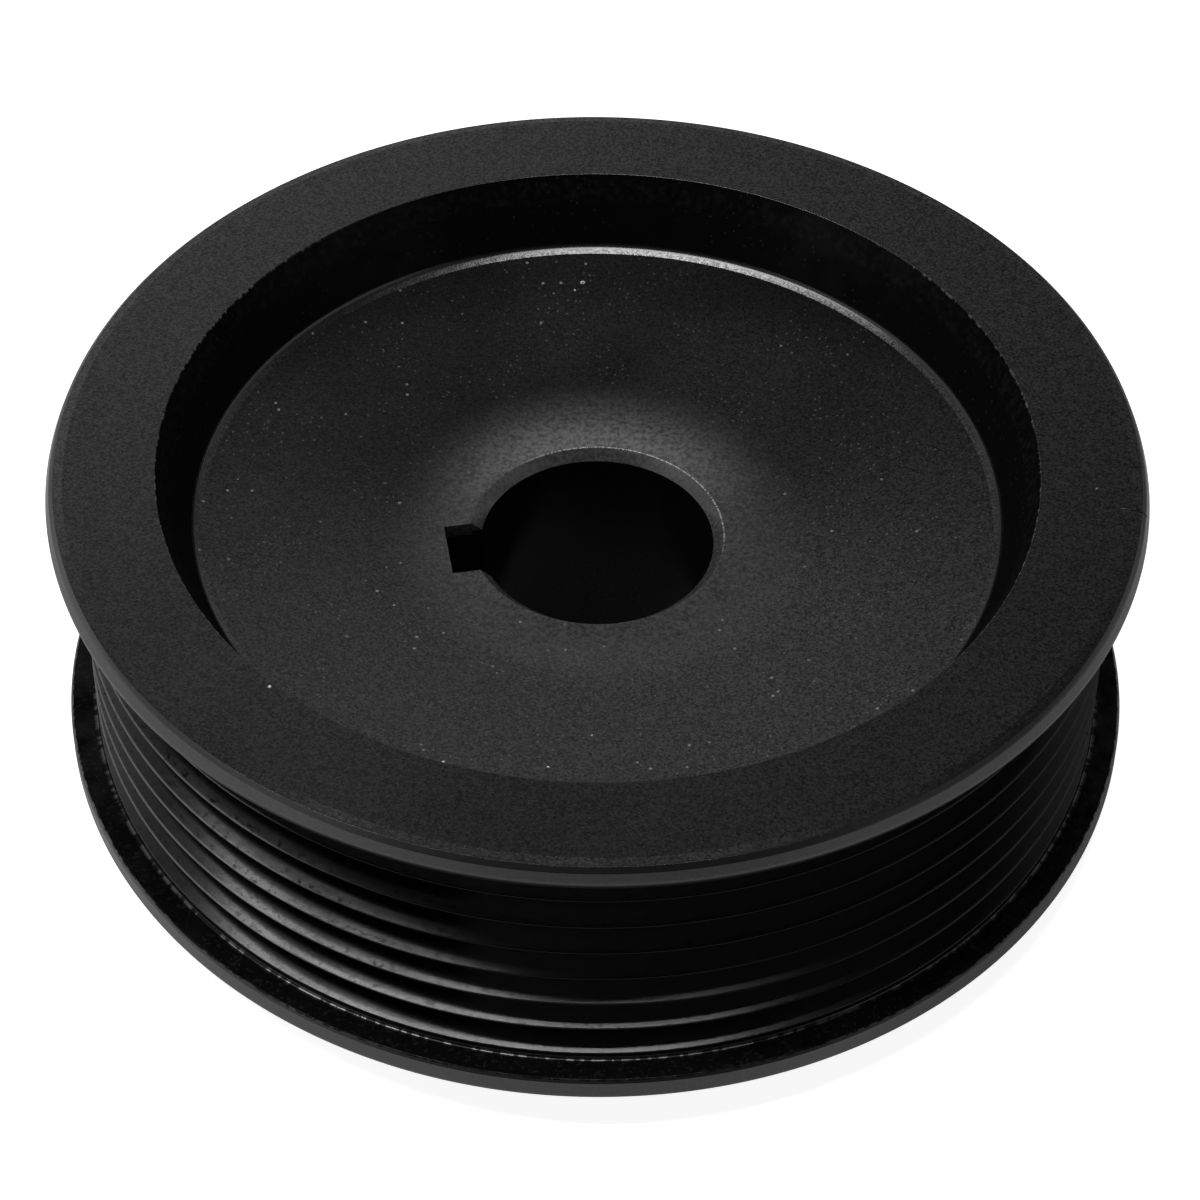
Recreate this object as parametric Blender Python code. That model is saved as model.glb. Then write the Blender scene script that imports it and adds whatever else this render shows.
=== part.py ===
"""A multi-groove ribbed-belt pulley, turned from one iron casting and painted black.

It stands on its rear boss with the origin at that boss's centre and +Z along the
bore, towards the dished front. Sizes are in metres and angles in degrees.
"""

import math

import bmesh
import bpy
from mathutils import Matrix, Vector

# Belt grooves, between the two flanges
groove_count = 7
groove_pitch = 0.00356
groove_angle = 40.0
crest_radius = 0.0497
crest_round = 0.00025
root_round = 0.0004
front_land = 0.00282
rear_land = 0.00247

# Flanges, the front one with a gentle shoulder before its steeper outer edge
flange_height = 0.0027
front_flange_width = 0.0024
rear_flange_width = 0.00275
flange_fillet = 0.0003
front_flange_round = 0.00045
rear_flange_break = 0.0003
shoulder_width = 0.00093
shoulder_slope = 10.0
edge_width = 0.00083
edge_slope = 38.0
front_edge_round = 0.0013
rear_edge_round = 0.0008

# Dished front: a steep wall on a narrow conical foot, and a web that rises from a low hub crown
front_rim_wall = 0.00411
dish_draft = 24.1
dish_fillet = 0.0006
foot_width = 0.00058
foot_slope = 30.0
hub_depth = 0.01065
crown_width = 0.0037
crown_slope = 3.0
web_rise = 8.8
web_thickness = 0.008

# Keyed bore
bore_radius = 0.01128
bore_chamfer = 0.00102
key_width = 0.00645
key_depth = 0.00327
key_direction = 189.5

# Rear side: a hub boss that stands out of an annular recess
boss_radius = 0.02
boss_projection = 0.0045
boss_draft = 5.0
rear_rim_wall = 0.00506
recess_draft = 8.0
recess_fillet = 0.0025
rear_break = 0.0005

# Facets
facets_round = 60
arc_sag = 0.00005

# Paint
paint_colour = (0.018, 0.018, 0.019, 1.0)
paint_roughness = 0.38


def heading(angle):
    """The unit direction in the section at an angle from the radial axis."""
    return Vector((math.cos(math.radians(angle)), math.sin(math.radians(angle))))


def crossing(start, along, other, other_along):
    """Where the line from start meets the line through other."""
    across = other_along.orthogonal()
    return start + along * ((other - start).dot(across) / along.dot(across))


def chamfered(before, corner, after, size):
    """Two points, one on each side of the corner."""
    return [corner + (end - corner).normalized() * size for end in (before, after)]


def rounded(before, corner, after, radius):
    """The tangent arc of a radius in the corner, as flats that leave it by arc_sag at most."""
    back, onward = (before - corner).normalized(), (after - corner).normalized()
    half = back.angle(onward) / 2
    centre = corner + (back + onward).normalized() * radius / math.sin(half)
    start, end = (corner + way * radius / math.tan(half) - centre for way in (back, onward))
    turn = start.angle_signed(end)
    steps = max(2, math.ceil(abs(turn) / (2 * math.acos(1 - arc_sag / radius))))
    return [centre + Matrix.Rotation(-turn * step / steps, 2) @ start for step in range(steps + 1)]


def groove_radii():
    """Radii of the sharp crests, the sharp roots and the rounded groove floors."""
    flank = math.radians(groove_angle / 2)
    cut_back = 1 / math.sin(flank) - 1
    apex_radius = crest_radius + crest_round * cut_back
    root_radius = apex_radius - groove_pitch / 2 / math.tan(flank)
    return apex_radius, root_radius, root_radius + root_round * cut_back


def groove_corners(lowest):
    """Corners from the rear land to the front one, with the V flanks run out to sharp points."""
    apex_radius, root_radius, _ = groove_radii()
    half_mouth = groove_pitch / 2 - (apex_radius - crest_radius) * math.tan(math.radians(groove_angle / 2))
    corners = [(Vector((crest_radius, lowest - half_mouth)), rounded, crest_round)]
    for number in range(groove_count):
        height = lowest + number * groove_pitch
        if number:
            apex = Vector((apex_radius, height - groove_pitch / 2))
            corners.append((apex, rounded, crest_round))
        corners.append((Vector((root_radius, height)), rounded, root_round))
    corners.append((Vector((crest_radius, height + half_mouth)), rounded, crest_round))
    return corners


def section_corners():
    """The closed half section: out along the rear, up the grooves, in over the front, down the bore."""
    rear = boss_projection
    rear_flange_end = rear + rear_flange_width
    lowest_groove = rear_flange_end + rear_land
    front_land_end = lowest_groove + (groove_count - 1) * groove_pitch + front_land
    front = front_land_end + front_flange_width

    flange_radius = crest_radius + flange_height
    edge_start = flange_radius - edge_width
    edge_top = front - shoulder_width * math.tan(math.radians(shoulder_slope))
    edge_foot = edge_top - edge_width * math.tan(math.radians(edge_slope))

    wall_top = Vector((groove_radii()[2] - front_rim_wall, front))
    hub_edge = Vector((bore_radius + bore_chamfer, front - hub_depth))
    crown_end = hub_edge + heading(-crown_slope) * crown_width
    wall_end = crossing(wall_top, heading(90 - dish_draft), crown_end, heading(web_rise))
    web_end = wall_end - heading(web_rise) * foot_width
    wall_foot = crossing(wall_top, heading(90 - dish_draft), web_end, heading(foot_slope))
    web_back = crown_end - Vector((0, web_thickness))

    boss_edge = Vector((boss_radius, 0))
    recess_edge = Vector((groove_radii()[2] - rear_rim_wall, rear))
    boss_root = crossing(boss_edge, heading(90 - boss_draft), web_back, heading(web_rise))
    recess_root = crossing(recess_edge, heading(90 + recess_draft), web_back, heading(web_rise))

    return [
        (Vector((bore_radius, 0)), chamfered, bore_chamfer),
        (boss_edge, chamfered, rear_break),
        (boss_root, rounded, recess_fillet),
        (recess_root, rounded, recess_fillet),
        (recess_edge, chamfered, rear_break),
        (Vector((flange_radius, rear)), rounded, rear_edge_round),
        (Vector((flange_radius, rear_flange_end)), chamfered, rear_flange_break),
        (Vector((crest_radius, rear_flange_end)), rounded, flange_fillet),
        *groove_corners(lowest_groove),
        (Vector((crest_radius, front_land_end)), rounded, flange_fillet),
        (Vector((flange_radius, front_land_end)), rounded, front_flange_round),
        (Vector((flange_radius, edge_foot)), rounded, front_edge_round),
        (Vector((edge_start, edge_top)), None, None),
        (Vector((edge_start - shoulder_width, front)), None, None),
        (wall_top, None, None),
        (wall_foot, rounded, dish_fillet),
        (web_end, None, None),
        (crown_end, None, None),
        (hub_edge, None, None),
        (hub_edge - Vector((bore_chamfer, bore_chamfer)), None, None),
    ]


def outline(corners):
    """The section's points, with each corner finished as it says."""
    points = []
    for index, (corner, finish, size) in enumerate(corners):
        before = corners[index - 1][0]
        after = corners[(index + 1) % len(corners)][0]
        points += finish(before, corner, after, size) if finish else [corner]
    return points


def add_object(name, shape):
    """A mesh object from a bmesh, which is freed."""
    mesh = bpy.data.meshes.new(name)
    shape.to_mesh(mesh)
    shape.free()
    piece = bpy.data.objects.new(name, mesh)
    bpy.context.scene.collection.objects.link(piece)
    return piece


def turned(name, points):
    """The section spun once round the axis."""
    shape = bmesh.new()
    ring = [shape.verts.new((point.x, 0, point.y)) for point in points]
    edges = [shape.edges.new((ring[index - 1], ring[index])) for index in range(len(ring))]
    bmesh.ops.spin(
        shape,
        geom=ring + edges,
        axis=(0, 0, 1),
        angle=math.tau,
        steps=facets_round,
        use_merge=True,
    )
    bmesh.ops.recalc_face_normals(shape, faces=shape.faces)
    return add_object(name, shape)


def keyway_cutter(height):
    """A bar along the bore, from inside it out to the keyway's floor."""
    inner, outer = bore_radius / 2, bore_radius + key_depth
    middle = Vector(((inner + outer) / 2, 0, height / 2))
    size = Vector((outer - inner, key_width, height * 2))
    turn = Matrix.Rotation(math.radians(key_direction), 4, "Z")
    shape = bmesh.new()
    bmesh.ops.create_cube(shape, size=1, matrix=turn @ Matrix.LocRotScale(middle, None, size))
    cutter = add_object("keyway_cutter", shape)
    cutter.hide_render = True
    cutter.display_type = "WIRE"
    return cutter


def black_paint():
    """Satin black paint."""
    paint = bpy.data.materials.new("black_paint")
    paint.use_nodes = True
    shader = paint.node_tree.nodes["Principled BSDF"]
    shader.inputs["Base Color"].default_value = paint_colour
    shader.inputs["Roughness"].default_value = paint_roughness
    shader.inputs["Metallic"].default_value = 0.0
    return paint


for leftover in list(bpy.data.objects):
    bpy.data.objects.remove(leftover)

section = outline(section_corners())
pulley = turned("pulley", section)
pulley.data.materials.append(black_paint())
pulley.data.shade_smooth()
pulley.data.set_sharp_from_angle(angle=math.radians(30))

keyway = pulley.modifiers.new("keyway", "BOOLEAN")
keyway.operation = "DIFFERENCE"
keyway.object = keyway_cutter(max(point.y for point in section))
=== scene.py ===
import math

import bpy
from mathutils import Matrix, Vector


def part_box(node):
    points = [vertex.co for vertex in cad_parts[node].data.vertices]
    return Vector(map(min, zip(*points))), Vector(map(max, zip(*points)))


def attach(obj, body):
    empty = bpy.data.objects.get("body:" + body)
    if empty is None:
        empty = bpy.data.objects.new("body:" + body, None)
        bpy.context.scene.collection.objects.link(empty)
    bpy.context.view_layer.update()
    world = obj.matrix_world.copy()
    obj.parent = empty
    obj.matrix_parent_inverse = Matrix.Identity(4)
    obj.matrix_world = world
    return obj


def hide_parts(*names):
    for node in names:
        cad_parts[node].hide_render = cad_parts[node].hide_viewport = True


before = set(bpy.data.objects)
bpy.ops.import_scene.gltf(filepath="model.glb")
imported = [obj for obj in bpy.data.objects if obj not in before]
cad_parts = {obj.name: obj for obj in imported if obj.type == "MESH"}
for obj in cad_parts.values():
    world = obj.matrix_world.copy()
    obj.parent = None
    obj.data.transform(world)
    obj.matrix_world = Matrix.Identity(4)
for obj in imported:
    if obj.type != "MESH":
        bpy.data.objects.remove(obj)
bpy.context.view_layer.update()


# The casting
# One piece of grey iron, turned all over: two flanges with seven belt grooves between
# them, a dished front, and at the rear a boss inside a recess. The bore is reamed, its
# keyway is broached right through, and the whole is sprayed satin black.

casting_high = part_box("pulley")[1]
flange_radius = casting_high.x
front = casting_high.z

groove_count = 7
groove_pitch = 0.00356
groove_flank = math.radians(20)
crest_radius = 0.0497
crest_round = 0.0001
root_round = 0.0004
front_land = 0.00282
rear_land = 0.00247
front_flange_width = 0.0024
rear_flange_width = 0.00275
flange_fillet = 0.0004
rear_flange_break = 0.0003
rear_edge_round = 0.0008
tool_edge = 0.00008
# The front flange's edge from its rear side to the front face: how far in, how deep, how round
front_edge = (
    (0.0004, 0.0024, tool_edge),
    (0.00015, 0.0022, 0.0002),
    (0.0, 0.00165, 0.0008),
    (0.00042, 0.00057, 0.0003),
    (0.00083, 0.000164, 0.00002),
    (0.00176, 0.0, 0.00015),
)

dish_radius = 0.04195
dish_draft = math.radians(24.1)
dish_fillet = 0.0006
foot_width = 0.00058
foot_slope = math.radians(30)
hub_depth = 0.01065
crown_width = 0.0037
crown_slope = math.radians(3)
crown_round = 0.03
web_rise = math.radians(8.8)
web_thickness = 0.008

bore_radius = 0.01128
bore_chamfer = 0.00102
key_width = 0.00645
key_depth = 0.00327
key_direction = math.radians(189.5)

boss_radius = 0.02
boss_projection = 0.0045
boss_draft = math.radians(5)
recess_radius = 0.041
recess_draft = math.radians(8)
recess_fillet = 0.0025
rear_break = 0.0005

steps_round = 360
# A round has more steps the larger it is, between these two numbers
least_steps, most_steps, steps_to_the_metre = 3, 16, 5000
sharp_angle = math.radians(35)


class Wire:
    """A socket of a node tree. Python's operators on it add the tree's Math nodes."""

    def __init__(self, tree, socket=None):
        self.tree = tree
        self.socket = socket

    def node(self, kind, settings=None, sockets=None, out=0):
        """Adds a node, sets it up, fills or links its sockets, and gives one of its outputs, if any."""
        made = self.tree.nodes.new(kind)
        for name, value in (settings or {}).items():
            if name == "stops":
                ramp = made.color_ramp
                while len(ramp.elements) < len(value):
                    ramp.elements.new(0.5)
                for stop, (place, level) in zip(ramp.elements, value):
                    stop.position = place
                    stop.color = (level, level, level, 1)
            else:
                setattr(made, name, value)
        for name, value in (sockets or {}).items():
            for given in value if isinstance(value, list) else [value]:
                if isinstance(given, Wire):
                    self.tree.links.new(given.socket, made.inputs[name])
                else:
                    made.inputs[name].default_value = given
        return Wire(self.tree, made.outputs[out]) if made.outputs else None

    def maths(self, operation, *others):
        """A Math node whose first value is this socket."""
        values = dict(enumerate((self, *others)))
        return self.node("ShaderNodeMath", {"operation": operation}, values)

    def ramp(self, low, high, start=0.0, end=1.0):
        """Smoothly from start, where this socket is at low, to end, where it is at high."""
        return self.node(
            "ShaderNodeMapRange",
            {"interpolation_type": "SMOOTHSTEP"},
            {"Value": self, "From Min": low, "From Max": high, "To Min": start, "To Max": end},
        )

    def within(self, low, high, soft):
        """1 between low and high, fading over soft on either side."""
        return self.ramp(low - soft, low) * self.ramp(high + soft, high)

    def __add__(self, other):
        return self.maths("ADD", other)

    def __sub__(self, other):
        return self.maths("SUBTRACT", other)

    def __mul__(self, other):
        return self.maths("MULTIPLY", other)

    def __truediv__(self, other):
        return self.maths("DIVIDE", other)

    def __radd__(self, other):
        return self + other

    def __rmul__(self, other):
        return self * other

    def __rsub__(self, other):
        return self.node("ShaderNodeMath", {"operation": "SUBTRACT"}, {0: other, 1: self})

    def __rtruediv__(self, other):
        return self.node("ShaderNodeMath", {"operation": "DIVIDE"}, {0: other, 1: self})


def empty_tree(owner):
    """The node tree of a material or of the world, without the nodes that it comes with."""
    owner.use_nodes = True
    for node in list(owner.node_tree.nodes):
        owner.node_tree.nodes.remove(node)
    return owner.node_tree


def placed(name, data):
    """An object of the data, in the scene."""
    thing = bpy.data.objects.new(name, data)
    bpy.context.scene.collection.objects.link(thing)
    return thing


def along(angle):
    """The unit direction in the section at an angle from the radial axis."""
    return Vector((math.cos(angle), math.sin(angle)))


def crossing(start, way, other, other_way):
    """Where the line from start meets the line through other."""
    across = other_way.orthogonal()
    return start + way * ((other - start).dot(across) / way.dot(across))


def casting_corners():
    """The section's corners from the front flange's land round to the rear one, each with its round."""
    upright = math.pi / 2
    wall_top = Vector((dish_radius, front))
    wall = along(upright - dish_draft)
    hub_edge = Vector((bore_radius + bore_chamfer, front - hub_depth))
    crown_end = hub_edge + along(-crown_slope) * crown_width
    web_end = crossing(wall_top, wall, crown_end, along(web_rise)) - along(web_rise) * foot_width
    web_back = crown_end - Vector((0, web_thickness))
    boss = Vector((boss_radius, 0))
    recess = Vector((recess_radius, boss_projection))
    front_face = front - front_flange_width
    rear_face = boss_projection + rear_flange_width
    return [
        (Vector((crest_radius, front_face)), flange_fillet),
        *((Vector((flange_radius - inset, front - depth)), size) for inset, depth, size in front_edge),
        (wall_top, tool_edge),
        (crossing(wall_top, wall, web_end, along(foot_slope)), dish_fillet),
        (web_end, tool_edge),
        (crown_end, crown_round),
        (hub_edge, tool_edge),
        (hub_edge - Vector((bore_chamfer, bore_chamfer)), tool_edge),
        (Vector((bore_radius, bore_chamfer)), tool_edge),
        (Vector((bore_radius + bore_chamfer, 0)), tool_edge),
        (boss - Vector((rear_break, 0)), tool_edge),
        (boss + along(upright - boss_draft) * rear_break, tool_edge),
        (crossing(boss, along(upright - boss_draft), web_back, along(web_rise)), recess_fillet),
        (crossing(recess, along(upright + recess_draft), web_back, along(web_rise)), recess_fillet),
        (recess + along(upright + recess_draft) * rear_break, tool_edge),
        (recess + Vector((rear_break, 0)), tool_edge),
        (Vector((flange_radius, boss_projection)), rear_edge_round),
        (Vector((flange_radius, rear_face - rear_flange_break)), tool_edge),
        (Vector((flange_radius - rear_flange_break, rear_face)), tool_edge),
        (Vector((crest_radius, rear_face)), flange_fillet),
    ]


def turning_tree():
    """Adds the grooves to the corners, rounds them all, turns the section and cuts the keyway."""
    tree = bpy.data.node_groups.new("turned_casting", "GeometryNodeTree")
    tree.interface.new_socket("Corners", in_out="INPUT", socket_type="NodeSocketGeometry")
    for name, kind in (
        ("Groove count", "Int"),
        ("Groove pitch", "Float"),
        ("Groove flank", "Float"),
        ("Crest radius", "Float"),
        ("Crest round", "Float"),
        ("Root round", "Float"),
        ("Lowest groove", "Float"),
        ("Steps round", "Int"),
        ("Key width", "Float"),
        ("Key floor", "Float"),
        ("Key direction", "Float"),
        ("Height", "Float"),
        ("Paint", "Material"),
    ):
        tree.interface.new_socket(name, in_out="INPUT", socket_type="NodeSocket" + kind)
    tree.interface.new_socket("Casting", in_out="OUTPUT", socket_type="NodeSocketGeometry")
    start = tree.nodes.new("NodeGroupInput")
    given = {socket.name: Wire(tree, socket) for socket in start.outputs}
    add = Wire(tree).node

    count = given["Groove count"]
    half_pitch = given["Groove pitch"] / 2
    slope = given["Groove flank"].maths("TANGENT")
    sharpness = 1 / given["Groove flank"].maths("SINE") - 1
    overshoot = given["Crest round"] * sharpness
    depth = half_pitch / slope

    place = add("GeometryNodeInputIndex")
    is_root = place.maths("MODULO", 2)
    is_start = place.maths("LESS_THAN", 0.5)
    is_end = place.maths("GREATER_THAN", 2 * count - 0.5)
    radius = given["Crest radius"] + overshoot * (1 - is_start - is_end) - depth * is_root
    height = given["Lowest groove"] + half_pitch * (place - 1)
    height = height + overshoot * slope * (is_start - is_end)

    run = add("GeometryNodeMeshLine", {}, {"Count": 2 * count + 1})
    run = add(
        "GeometryNodeSetPosition",
        {},
        {"Geometry": run, "Position": add("ShaderNodeCombineXYZ", {}, {"X": radius, "Y": height})},
    )
    run = add(
        "GeometryNodeStoreNamedAttribute",
        {"data_type": "FLOAT", "domain": "POINT"},
        {
            "Geometry": run,
            "Name": "round",
            "Value": given["Crest round"] * (1 - is_root) + given["Root round"] * is_root,
        },
    )
    corners = add("GeometryNodeJoinGeometry", {}, {"Geometry": [given["Corners"], run]})
    points = add("GeometryNodeMeshToPoints", {}, {"Mesh": corners})
    section = add("GeometryNodePointsToCurves", {}, {"Points": points})
    section = add("GeometryNodeSetSplineCyclic", {}, {"Geometry": section, "Cyclic": True})
    rounds = add("GeometryNodeInputNamedAttribute", {"data_type": "FLOAT"}, {"Name": "round"})
    steps = (least_steps + rounds * steps_to_the_metre).maths("MINIMUM", most_steps)
    section = add(
        "GeometryNodeFilletCurve",
        {"mode": "POLY"},
        {"Curve": section, "Count": steps, "Radius": rounds, "Limit Radius": True},
    )
    path = add("GeometryNodeCurvePrimitiveCircle", {}, {"Resolution": given["Steps round"], "Radius": 1})
    # The path's own frame holds the section upside down, with its radius measured from the path.
    section = add(
        "GeometryNodeTransform",
        {},
        {"Geometry": section, "Translation": Vector((-1, 0, 0)), "Scale": Vector((1, -1, 1))},
    )
    casting = add("GeometryNodeCurveToMesh", {}, {"Curve": path, "Profile Curve": section})

    inner = given["Key floor"] / 2
    reach = given["Key floor"] - inner
    bar_size = {"X": reach, "Y": given["Key width"], "Z": given["Height"] * 2}
    bar_middle = {"X": inner + reach / 2, "Z": given["Height"] / 2}
    bar_turn = {"Z": given["Key direction"]}
    bar = add("GeometryNodeMeshCube", {}, {"Size": add("ShaderNodeCombineXYZ", {}, bar_size)})
    bar = add(
        "GeometryNodeTransform",
        {},
        {"Geometry": bar, "Translation": add("ShaderNodeCombineXYZ", {}, bar_middle)},
    )
    bar = add(
        "GeometryNodeTransform",
        {},
        {"Geometry": bar, "Rotation": add("ShaderNodeCombineXYZ", {}, bar_turn)},
    )
    casting = add(
        "GeometryNodeMeshBoolean",
        {"operation": "DIFFERENCE", "solver": "EXACT"},
        {"Mesh 1": casting, "Mesh 2": bar},
    )
    angle = add("GeometryNodeInputMeshEdgeAngle")
    casting = add(
        "GeometryNodeSetShadeSmooth",
        {"domain": "EDGE"},
        {
            "Geometry": casting,
            "Selection": angle.maths("GREATER_THAN", sharp_angle),
            "Shade Smooth": False,
        },
    )
    casting = add("GeometryNodeRealizeInstances", {}, {"Geometry": casting})
    casting = add("GeometryNodeSetMaterial", {}, {"Geometry": casting, "Material": given["Paint"]})
    add("NodeGroupOutput", {}, {"Casting": casting})
    return tree


# Pale marks in the paint: x, y and radius
paint_marks = (
    (-0.0018, 0.0342, 0.00035),
    (-0.0026, 0.0332, 0.00018),
    (-0.0010, 0.0351, 0.00015),
    (-0.0358, 0.0025, 0.00016),
    (-0.0350, 0.0042, 0.00012),
    (-0.0291, -0.0309, 0.00025),
    (-0.0137, -0.0326, 0.00022),
    (-0.0042, -0.0328, 0.0002),
    (-0.0002, -0.0281, 0.00022),
    (0.0470, -0.0041, 0.00018),
)
nick_direction = math.radians(352)
nick_half_width = 0.00008
witness_direction = math.radians(254)
witness_radius = 0.02089
halo_radius, halo_core = 0.0218, 0.012

# Where the web and the dish's wall show, as radii and depths below the front face
web_radius = 0.0385
web_top, web_bottom = 0.006, 0.012
wall_foot_radius, wall_foot_depth = 0.03895, 0.0069

grain_cells = 5600
gloss_colour = (0.003, 0.003, 0.003, 1)
gloss_roughness = 0.22
gloss_ior = 1.9
# A near-black dull coat, for soiling and for painted shade, and a pale grey coat, for specks and for
# painted highlights
shade_and_dirt_colour = (0.001, 0.001, 0.001, 1)
dust_and_highlight_colour = (0.72, 0.72, 0.74, 1)

# A tenth of a millimetre, in which the edges of the paint's marks are given
hair = 0.0001
micron = 0.000001


def most(first, *others):
    """The greatest of several shares."""
    for share in others:
        first = first.maths("MAXIMUM", share)
    return first


def black_paint():
    """Satin black paint, with its grain, tool marks, soiling, specks and a paler bore chamfer, and with
    painted shade and painted highlights.
    """
    material = bpy.data.materials.new("black_paint")
    tree = empty_tree(material)
    add = Wire(tree).node
    place = add("ShaderNodeTexCoord", out="Object")
    x, y, z = (add("ShaderNodeSeparateXYZ", {}, {0: place}, out=axis) for axis in "XYZ")
    radius = (x * x + y * y).maths("SQRT")
    ahead_x, ahead_y = x / radius, y / radius
    depth = front - z

    def noise(scale, low, high, where=place):
        """Noise of a number of features to the metre, stretched to run from 0 to 1."""
        cloud = add("ShaderNodeTexNoise", {}, {"Vector": where, "Scale": scale, "Detail": 2.0})
        return cloud.ramp(low, high)

    def rings(scale, stretch):
        """Places in which noise is drawn out along the turning."""
        height = (radius + depth) * scale
        return add(
            "ShaderNodeCombineXYZ",
            {},
            {"X": ahead_x * stretch, "Y": ahead_y * stretch, "Z": height},
        )

    def dots(scale, size, share):
        """Round dots of a size in a share of the cells of a scale."""
        cells = {"Vector": place, "Scale": scale}
        distance = add("ShaderNodeTexVoronoi", {}, cells, out="Distance")
        pick = Wire(tree, distance.socket.node.outputs["Color"])
        pick = add("ShaderNodeSeparateColor", {}, {0: pick})
        return distance.ramp(size * scale, size * scale * 0.5) * pick.maths("LESS_THAN", share)

    hub_radius = bore_radius + bore_chamfer
    hub_top = front - hub_depth - bore_chamfer
    key_floor = bore_radius + key_depth
    shelf = boss_projection + rear_flange_width
    shelf_depth = front - shelf
    first_groove = front_flange_width + front_land
    last_groove = first_groove + (groove_count - 1) * groove_pitch

    # Where each place on the pulley is: 1 there and 0 elsewhere
    web = radius.within(hub_radius, web_radius, hair) * depth.within(web_top, web_bottom, 3 * hair)
    rim = radius.ramp(dish_radius, dish_radius + hair) * depth.ramp(2 * hair, hair)
    flats = web + rim
    wall = radius.within(wall_foot_radius, dish_radius, 0.4 * hair)
    wall = wall * depth.within(hair, wall_foot_depth, 2 * hair)
    hole = radius.ramp(key_floor + 2.5 * hair, key_floor + 1.5 * hair)
    hole = hole * z.within(4 * hair, hub_top, 0.3 * hair)
    chamfer = radius.within(bore_radius, hub_radius, 0.2 * hair) * z.ramp(hub_top, hub_top + 0.5 * hair)
    grooves = radius.within(crest_radius - 43 * hair, crest_radius + 3 * hair, 2 * hair)
    grooves_top, grooves_bottom = front_flange_width + flange_fillet, shelf_depth - 2.5 * hair
    grooves = grooves * depth.within(grooves_top, grooves_bottom, 2 * hair)
    tips = radius.ramp(crest_radius - 15 * hair, crest_radius - 3 * hair)
    tips = tips * depth.within(first_groove, last_groove, 3 * hair)
    flanks = grooves * radius.ramp(crest_radius - 6 * hair, crest_radius - 14 * hair)
    crests = tips * radius.ramp(crest_radius - 1.5 * hair, crest_radius - 0.5 * hair)
    crest_line = tips * radius.ramp(crest_radius - 2 * hair, crest_radius - 0.8 * hair)
    lip = radius.ramp(flange_radius - 9 * hair, flange_radius - 6 * hair)
    lip = lip * depth.within(front_flange_width - 5 * hair, front_flange_width + 2 * hair, 4 * hair)
    sides = radius.ramp(flange_radius - 6 * hair, flange_radius - 4 * hair)
    sides = sides * ahead_x.maths("ABSOLUTE").ramp(0.1, 0.5)
    rear_side = radius.ramp(flange_radius - 4 * hair, flange_radius - 3 * hair)
    rear_side = rear_side * z.ramp(shelf - 1.5 * hair, shelf - 3.5 * hair)
    rear_shelf = radius.within(crest_radius + 5 * hair, flange_radius - 3 * hair, hair)
    rear_shelf = rear_shelf * z.within(shelf - 1.5 * hair, shelf + 1.5 * hair, hair)
    seam = radius.within(crest_radius + hair, crest_radius + 5 * hair, hair)
    seam = seam + radius.within(flange_radius - 3.5 * hair, flange_radius - 2 * hair, 0.5 * hair)
    seam = seam * z.within(shelf - 2.5 * hair, shelf + 3.5 * hair, 2 * hair)

    # Patterns in the paint, from 0 to 1, the finest first
    grain = add("ShaderNodeTexVoronoi", {}, {"Vector": place, "Scale": grain_cells}, out="Color")
    grain = add("ShaderNodeSeparateColor", {}, {0: grain})
    orange_peel = noise(4200, 0.3, 0.7)
    mottling = noise(2600, 0.3, 0.7)
    flecks = noise(1900, 0.5, 0.66)
    splashes = noise(1500, 0.5, 0.62)
    blotches = noise(330, 0.3, 0.7)
    clouds = noise(55, 0.35, 0.65)
    beads = noise(1, 0.42, 0.52, where=rings(200, 62))
    dashes = noise(1, 0.5, 0.62, where=rings(60, 75))
    turning = noise(1, 0.3, 0.7, where=rings(4200, 5))
    specks = dots(620, 2 * hair, 0.6) * noise(90, 0.42, 0.62)
    motes = dots(1500, 1.5 * hair, 0.7) * noise(140, 0.35, 0.65)

    # Pits at the left, the faint arc that a tool left on the web, and the nick in the rim
    pits = dots(900, 1.3 * hair, 0.5) * web * x.ramp(-0.004, -0.02) * noise(120, 0.4, 0.6)
    witness = ahead_x * math.cos(witness_direction) + ahead_y * math.sin(witness_direction)
    witness = witness.ramp(0.6, 0.8)
    witness = witness * radius.within(witness_radius - 0.4 * hair, witness_radius + 0.4 * hair, 0.4 * hair)
    nick = x * -math.sin(nick_direction) + y * math.cos(nick_direction)
    nick = nick.within(-nick_half_width, nick_half_width, 0.5 * hair) * x.ramp(0, 0.01)
    nick = nick * radius.ramp(crest_radius - 15 * hair, crest_radius + 8 * hair)
    nick = nick * depth.ramp(10 * hair, 5 * hair)

    # Soiling and painted shade, each kind as the share of the gloss that it takes
    # Painted shade on the grooves towards both sides, more on the right
    groove_end_shade = ahead_x.ramp(0.25, 0.75, 0.0, 0.6) + ahead_x.ramp(-0.6, -0.9, 0.0, 0.35)
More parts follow.
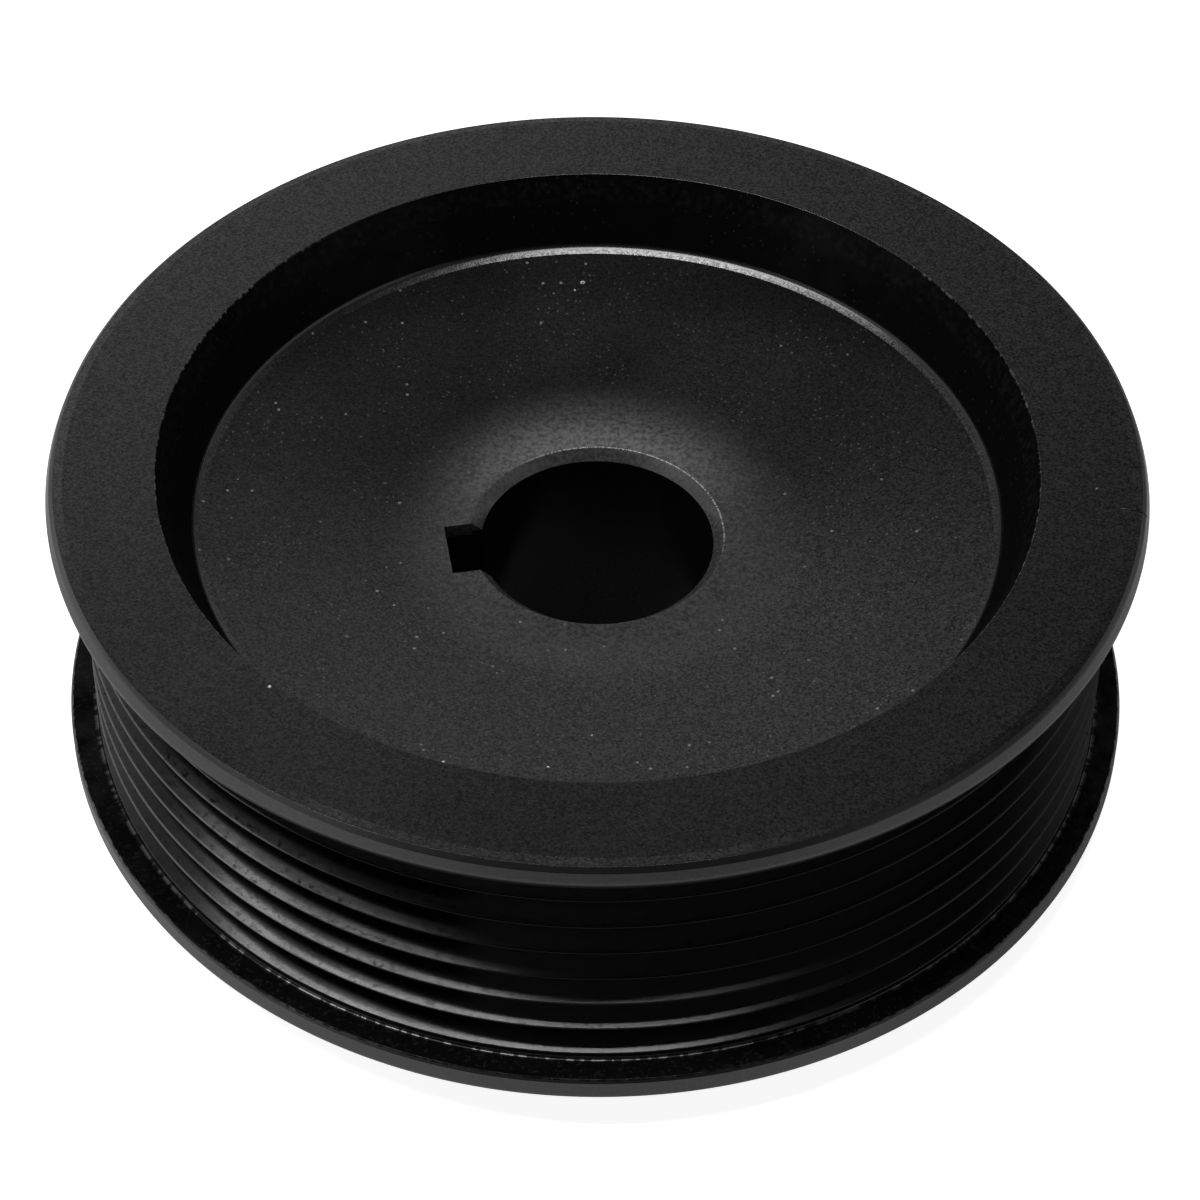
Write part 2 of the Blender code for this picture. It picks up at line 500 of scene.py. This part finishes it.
    # The paint is dulled all over, and more to the right as painted shade, where less light falls
    dulling_and_right_shade = x.ramp(-0.03, 0.06, 0.28, 0.53) * (1 - 0.5 * sides)
    shade_and_grime = most(
        # Painted shade in the bore and the keyway
        hole * 0.95,
        # Painted shade on the dish's wall
        wall * (0.95 + 0.03 * blotches),
        # Painted shade on the front flange's rounded lip, less at the far left
        lip * ahead_x.ramp(-0.8, -0.4, 0.5, 0.92),
        # Painted shade on the rear flange's shelf, under the front flange
        rear_shelf * (0.8 + 0.18 * blotches),
        # Painted shade on the rear flange's side, dimming what it mirrors of the table
        rear_side * 0.25,
        seam * beads * 0.9,
        grooves * groove_end_shade,
        grooves * splashes * 0.45,
        # Painted shade on the groove flanks, left of the middle
        flanks * ahead_x.within(-0.8, -0.3, 0.15) * 0.88,
        tips * flecks * (0.5 + 0.4 * clouds),
        # Painted shade on the crest tips, except at the far left
        crests * ahead_x.ramp(-0.8, -0.5) * 0.85,
        pits * 0.8,
        nick * 0.9,
        # Painted shade growing to the right, with the grain over all of it
        dulling_and_right_shade + (grain - 0.5) * (0.12 + 0.5 * flats),
    )

    # Specks, motes, marks, a paler bore chamfer and painted highlights, each as the share of the surface
    # that is pale
    # A painted highlight: the web is paler round the bore, most of all behind it
    halo = radius.ramp(halo_radius, halo_core) * ahead_y.ramp(0.2, 1.05, 0.34, 1.0) * web
    # Painted glints along the dish's edge, at the left and right only
    dish_edge = radius.within(dish_radius - 0.8 * hair, dish_radius + 0.3 * hair, 0.3 * hair)
    dish_edge = dish_edge * depth.ramp(3 * hair, hair) * ahead_x.maths("ABSOLUTE").ramp(0.55, 0.85)
    # A painted glint along the hub's edge, at the back and to the right
    hub_edge = radius.within(hub_radius - 0.5 * hair, hub_radius + 0.6 * hair, 0.3 * hair)
    hub_edge = hub_edge * depth.within(hub_depth - 2.5 * hair, hub_depth + 2.5 * hair, 2 * hair)
    hub_edge = hub_edge * (ahead_y + 0.6 * ahead_x).ramp(0.2, 0.7)
    # A faint painted sheen just below the top of the dish's wall
    wall_top = wall * depth.within(8 * hair, 22 * hair, 8 * hair)
    pale = most(
        halo * (0.5 + mottling) * 0.078,
        chamfer * (0.015 + 0.025 * mottling),
        dish_edge * dashes * 0.07,
        hub_edge * beads * 0.25,
        wall_top * noise(1300, 0.4, 0.75) * 0.004,
        rear_shelf * noise(2400, 0.55, 0.7) * 0.006,
        # Painted highlights on the crest lines at the far left and right
        crest_line * (ahead_x.ramp(-0.45, -0.8, 0.0, 0.1) + ahead_x.ramp(0.4, 0.8, 0.0, 0.06)),
        web * (specks * 0.16 + motes * 0.045),
        (1 - web) * motes * 0.012,
        witness * 0.012,
    )
    for mark_x, mark_y, size in paint_marks:
        apart = (x - mark_x) * (x - mark_x) + (y - mark_y) * (y - mark_y)
        mark = apart.maths("SQRT").ramp(size, size * 0.3) * depth.ramp(web_bottom, web_bottom - 5 * hair)
        pale = most(pale, mark * noise(4200, 0.35, 0.65) * 0.7)

    # Relief in microns
    relief = orange_peel * (1 + 2 * flats) + turning * (0.3 + 0.6 * rim) + blotches * 3
    relief = relief - pits * 10 - nick * 30 - witness * 3
    bumps = add("ShaderNodeBump", {}, {"Height": relief * micron, "Distance": 1.0, "Strength": 1.0})

    def coat(colour, roughness, reflection):
        """One finish over the same relief."""
        sockets = {"Base Color": colour, "Roughness": roughness, "Normal": bumps, **reflection}
        return add("ShaderNodeBsdfPrincipled", {}, sockets)

    sheen = gloss_roughness - 0.06 * grooves + 0.03 * flats + 0.04 * clouds
    gloss = coat(gloss_colour, sheen, {"IOR": gloss_ior})
    shade_and_dirt_coat = coat(shade_and_dirt_colour, 0.9, {"Specular IOR Level": 0.02})
    dust_and_highlight_coat = coat(dust_and_highlight_colour, 0.8, {"Specular IOR Level": 0.3})
    # Soiling and painted shade take the place of the gloss; specks and painted highlights lie over it
    surface = add("ShaderNodeMixShader", {}, {0: shade_and_grime, 1: gloss, 2: shade_and_dirt_coat})
    surface = add("ShaderNodeMixShader", {}, {0: pale, 1: surface, 2: dust_and_highlight_coat})
    add("ShaderNodeOutputMaterial", {}, {"Surface": surface})
    return material


corner_mesh = bpy.data.meshes.new("section_corners")
corners = casting_corners()
corner_mesh.from_pydata([(corner.x, corner.y, 0) for corner, size in corners], [], [])
rounds = corner_mesh.attributes.new("round", "FLOAT", "POINT")
rounds.data.foreach_set("value", [size for corner, size in corners])
blank = placed("section_corners", corner_mesh)

tree = turning_tree()
modifier = blank.modifiers.new("turning", "NODES")
modifier.node_group = tree
sizes = {
    "Groove count": groove_count,
    "Groove pitch": groove_pitch,
    "Groove flank": groove_flank,
    "Crest radius": crest_radius,
    "Crest round": crest_round,
    "Root round": root_round,
    "Lowest groove": boss_projection + rear_flange_width + rear_land,
    "Steps round": steps_round,
    "Key width": key_width,
    "Key floor": bore_radius + key_depth,
    "Key direction": key_direction,
    "Height": front,
    "Paint": black_paint(),
}
for item in tree.interface.items_tree:
    if item.name in sizes:
        modifier[item.identifier] = sizes[item.name]
weighting = blank.modifiers.new("flats", "WEIGHTED_NORMAL")
weighting.keep_sharp = True
weighting.weight = 50

graph = bpy.context.evaluated_depsgraph_get()
mesh = bpy.data.meshes.new_from_object(blank.evaluated_get(graph), depsgraph=graph)
casting = placed("pulley_casting", mesh)
bpy.data.objects.remove(blank)
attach(casting, "root")
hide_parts("pulley")


# The table
# A seamless white sheet, laid flat and wide enough to fill the view. It glows only for
# the camera, so the background is white and the glow lights nothing.

sheet_reach = 3.0
sheet_grey = (0.5, 0.5, 0.5, 1)
sheet_glow = 0.9
# Just under the boss, whose face would otherwise share the sheet's plane
sheet_height = -0.00002

floor_mesh = bpy.data.meshes.new("floor")
sheet_corners = [
    (x * sheet_reach, y * sheet_reach, sheet_height) for x, y in ((-1, -1), (1, -1), (1, 1), (-1, 1))
]
floor_mesh.from_pydata(sheet_corners, [], [(0, 1, 2, 3)])
floor = placed("floor", floor_mesh)
white = bpy.data.materials.new("white_sheet")
add = Wire(empty_tree(white)).node
diffuse = add("ShaderNodeBsdfDiffuse", {}, {"Color": sheet_grey})
glow = add("ShaderNodeEmission", {}, {"Color": (1, 1, 1, 1), "Strength": sheet_glow})
both = add("ShaderNodeAddShader", {}, {0: diffuse, 1: glow})
path = add("ShaderNodeLightPath", out="Is Camera Ray")
shown = add("ShaderNodeMixShader", {}, {0: path, 1: diffuse, 2: both})
add("ShaderNodeOutputMaterial", {}, {"Surface": shown})
floor_mesh.materials.append(white)


# The light
# A wide soft lamp over the pulley and to its left, made of three flat ones, brightest
# along the edge that is nearer to the camera. The room's walls are palest a third of
# the way up, and the paint mirrors them.

lamp_height = 1.0
lamp_left, lamp_right = -0.78, 0.165
lamp_near, lamp_far = -0.2, 0.06
edge_width = 0.055
corner_left, corner_right, corner_far = -0.76, -0.5, 0.2
for name, left, right, near, far, level in (
    ("overhead_lamp", lamp_left, lamp_right, lamp_near, lamp_far, 4.8),
    ("overhead_lamp_edge", lamp_left, lamp_right, lamp_near, lamp_near + edge_width, 62.0),
    ("overhead_lamp_corner", corner_left, corner_right, lamp_far, corner_far, 4.3),
):
    lamp_data = bpy.data.lights.new(name, "AREA")
    lamp_data.shape = "RECTANGLE"
    lamp_data.size = right - left
    lamp_data.size_y = far - near
    lamp_data.energy = level * lamp_data.size * lamp_data.size_y * math.pi
    lamp = placed(name, lamp_data)
    lamp.location = ((left + right) / 2, (near + far) / 2, lamp_height)

world = bpy.data.worlds.new("room")
bpy.context.scene.world = world
add = Wire(empty_tree(world)).node
direction = add("ShaderNodeTexCoord")
x, y, height = (add("ShaderNodeSeparateXYZ", {}, {0: direction}, out=axis) for axis in "XYZ")
wall_levels = [
    (0.0, 0.03), (0.2, 0.09), (0.35, 0.33), (0.45, 0.64), (0.545, 0.93),
    (0.61, 0.82), (0.7, 0.4), (0.76, 0.12), (0.83, 0.03), (0.9, 0.01),
]
level = add("ShaderNodeValToRGB", {"stops": wall_levels}, {"Fac": height})
# A little over 1, so that nothing is divided by nought straight up
ahead_y = y / (1.0001 - height * height).maths("SQRT")
dimmer_behind_camera = ahead_y.ramp(-0.95, -0.3, 0.22, 1.0)
brighter_left = (1 - 1.5 * x).maths("MAXIMUM", 0.7).maths("MINIMUM", 1.3)
low_glow_ahead = ahead_y.ramp(0.72, 0.97) * height.ramp(0.15, 0.42, 1.3, 0.0)
low_glow_left = x.ramp(-0.55, -0.85, 0.0, 1.6) * height.within(0.0, 0.25, 0.12)
low_glow_right = x.ramp(0.55, 0.85, 0.0, 1.1) * height.within(0.0, 0.25, 0.12)
level = level * dimmer_behind_camera * brighter_left + low_glow_ahead + low_glow_left + low_glow_right
room_strength = 0.54
room = add("ShaderNodeBackground", {}, {"Color": level, "Strength": room_strength})
plain = add("ShaderNodeBackground", {}, {"Color": (1, 1, 1, 1), "Strength": 1.0})
path = add("ShaderNodeLightPath", out="Is Camera Ray")
shown = add("ShaderNodeMixShader", {}, {0: path, 1: room, 2: plain})
add("ShaderNodeOutputWorld", {}, {"Surface": shown})


# The camera
# It looks down at the pulley's front from 364 mm away and 43 degrees up. Three small
# turns, in radians, set the pulley in the frame as it is in the photograph.

camera_distance = 0.36394
camera_elevation = math.radians(43.107)
camera_yaw = 0.000912
camera_pitch = -0.0382817
camera_roll = -0.0105613
lens = 114.89
sensor_width = 36

place = Vector((0, -math.cos(camera_elevation), math.sin(camera_elevation))) * camera_distance
ahead = -place.normalized()
right = ahead.cross(Vector((0, 0, 1))).normalized()
down = ahead.cross(right)
turn = Matrix.Rotation(camera_yaw, 3, down)
right, ahead = turn @ right, turn @ ahead
turn = Matrix.Rotation(camera_pitch, 3, right)
down, ahead = turn @ down, turn @ ahead
turn = Matrix.Rotation(camera_roll, 3, ahead)
right, down = turn @ right, turn @ down

camera_data = bpy.data.cameras.new("camera")
camera_data.lens = lens
camera_data.sensor_width = sensor_width
camera = placed("camera", camera_data)
axes = Matrix((right, -down, -ahead)).transposed().to_4x4()
camera.matrix_world = Matrix.Translation(place + Vector((0, 0, front))) @ axes
bpy.context.scene.camera = camera
bpy.context.scene.view_settings.view_transform = "Standard"
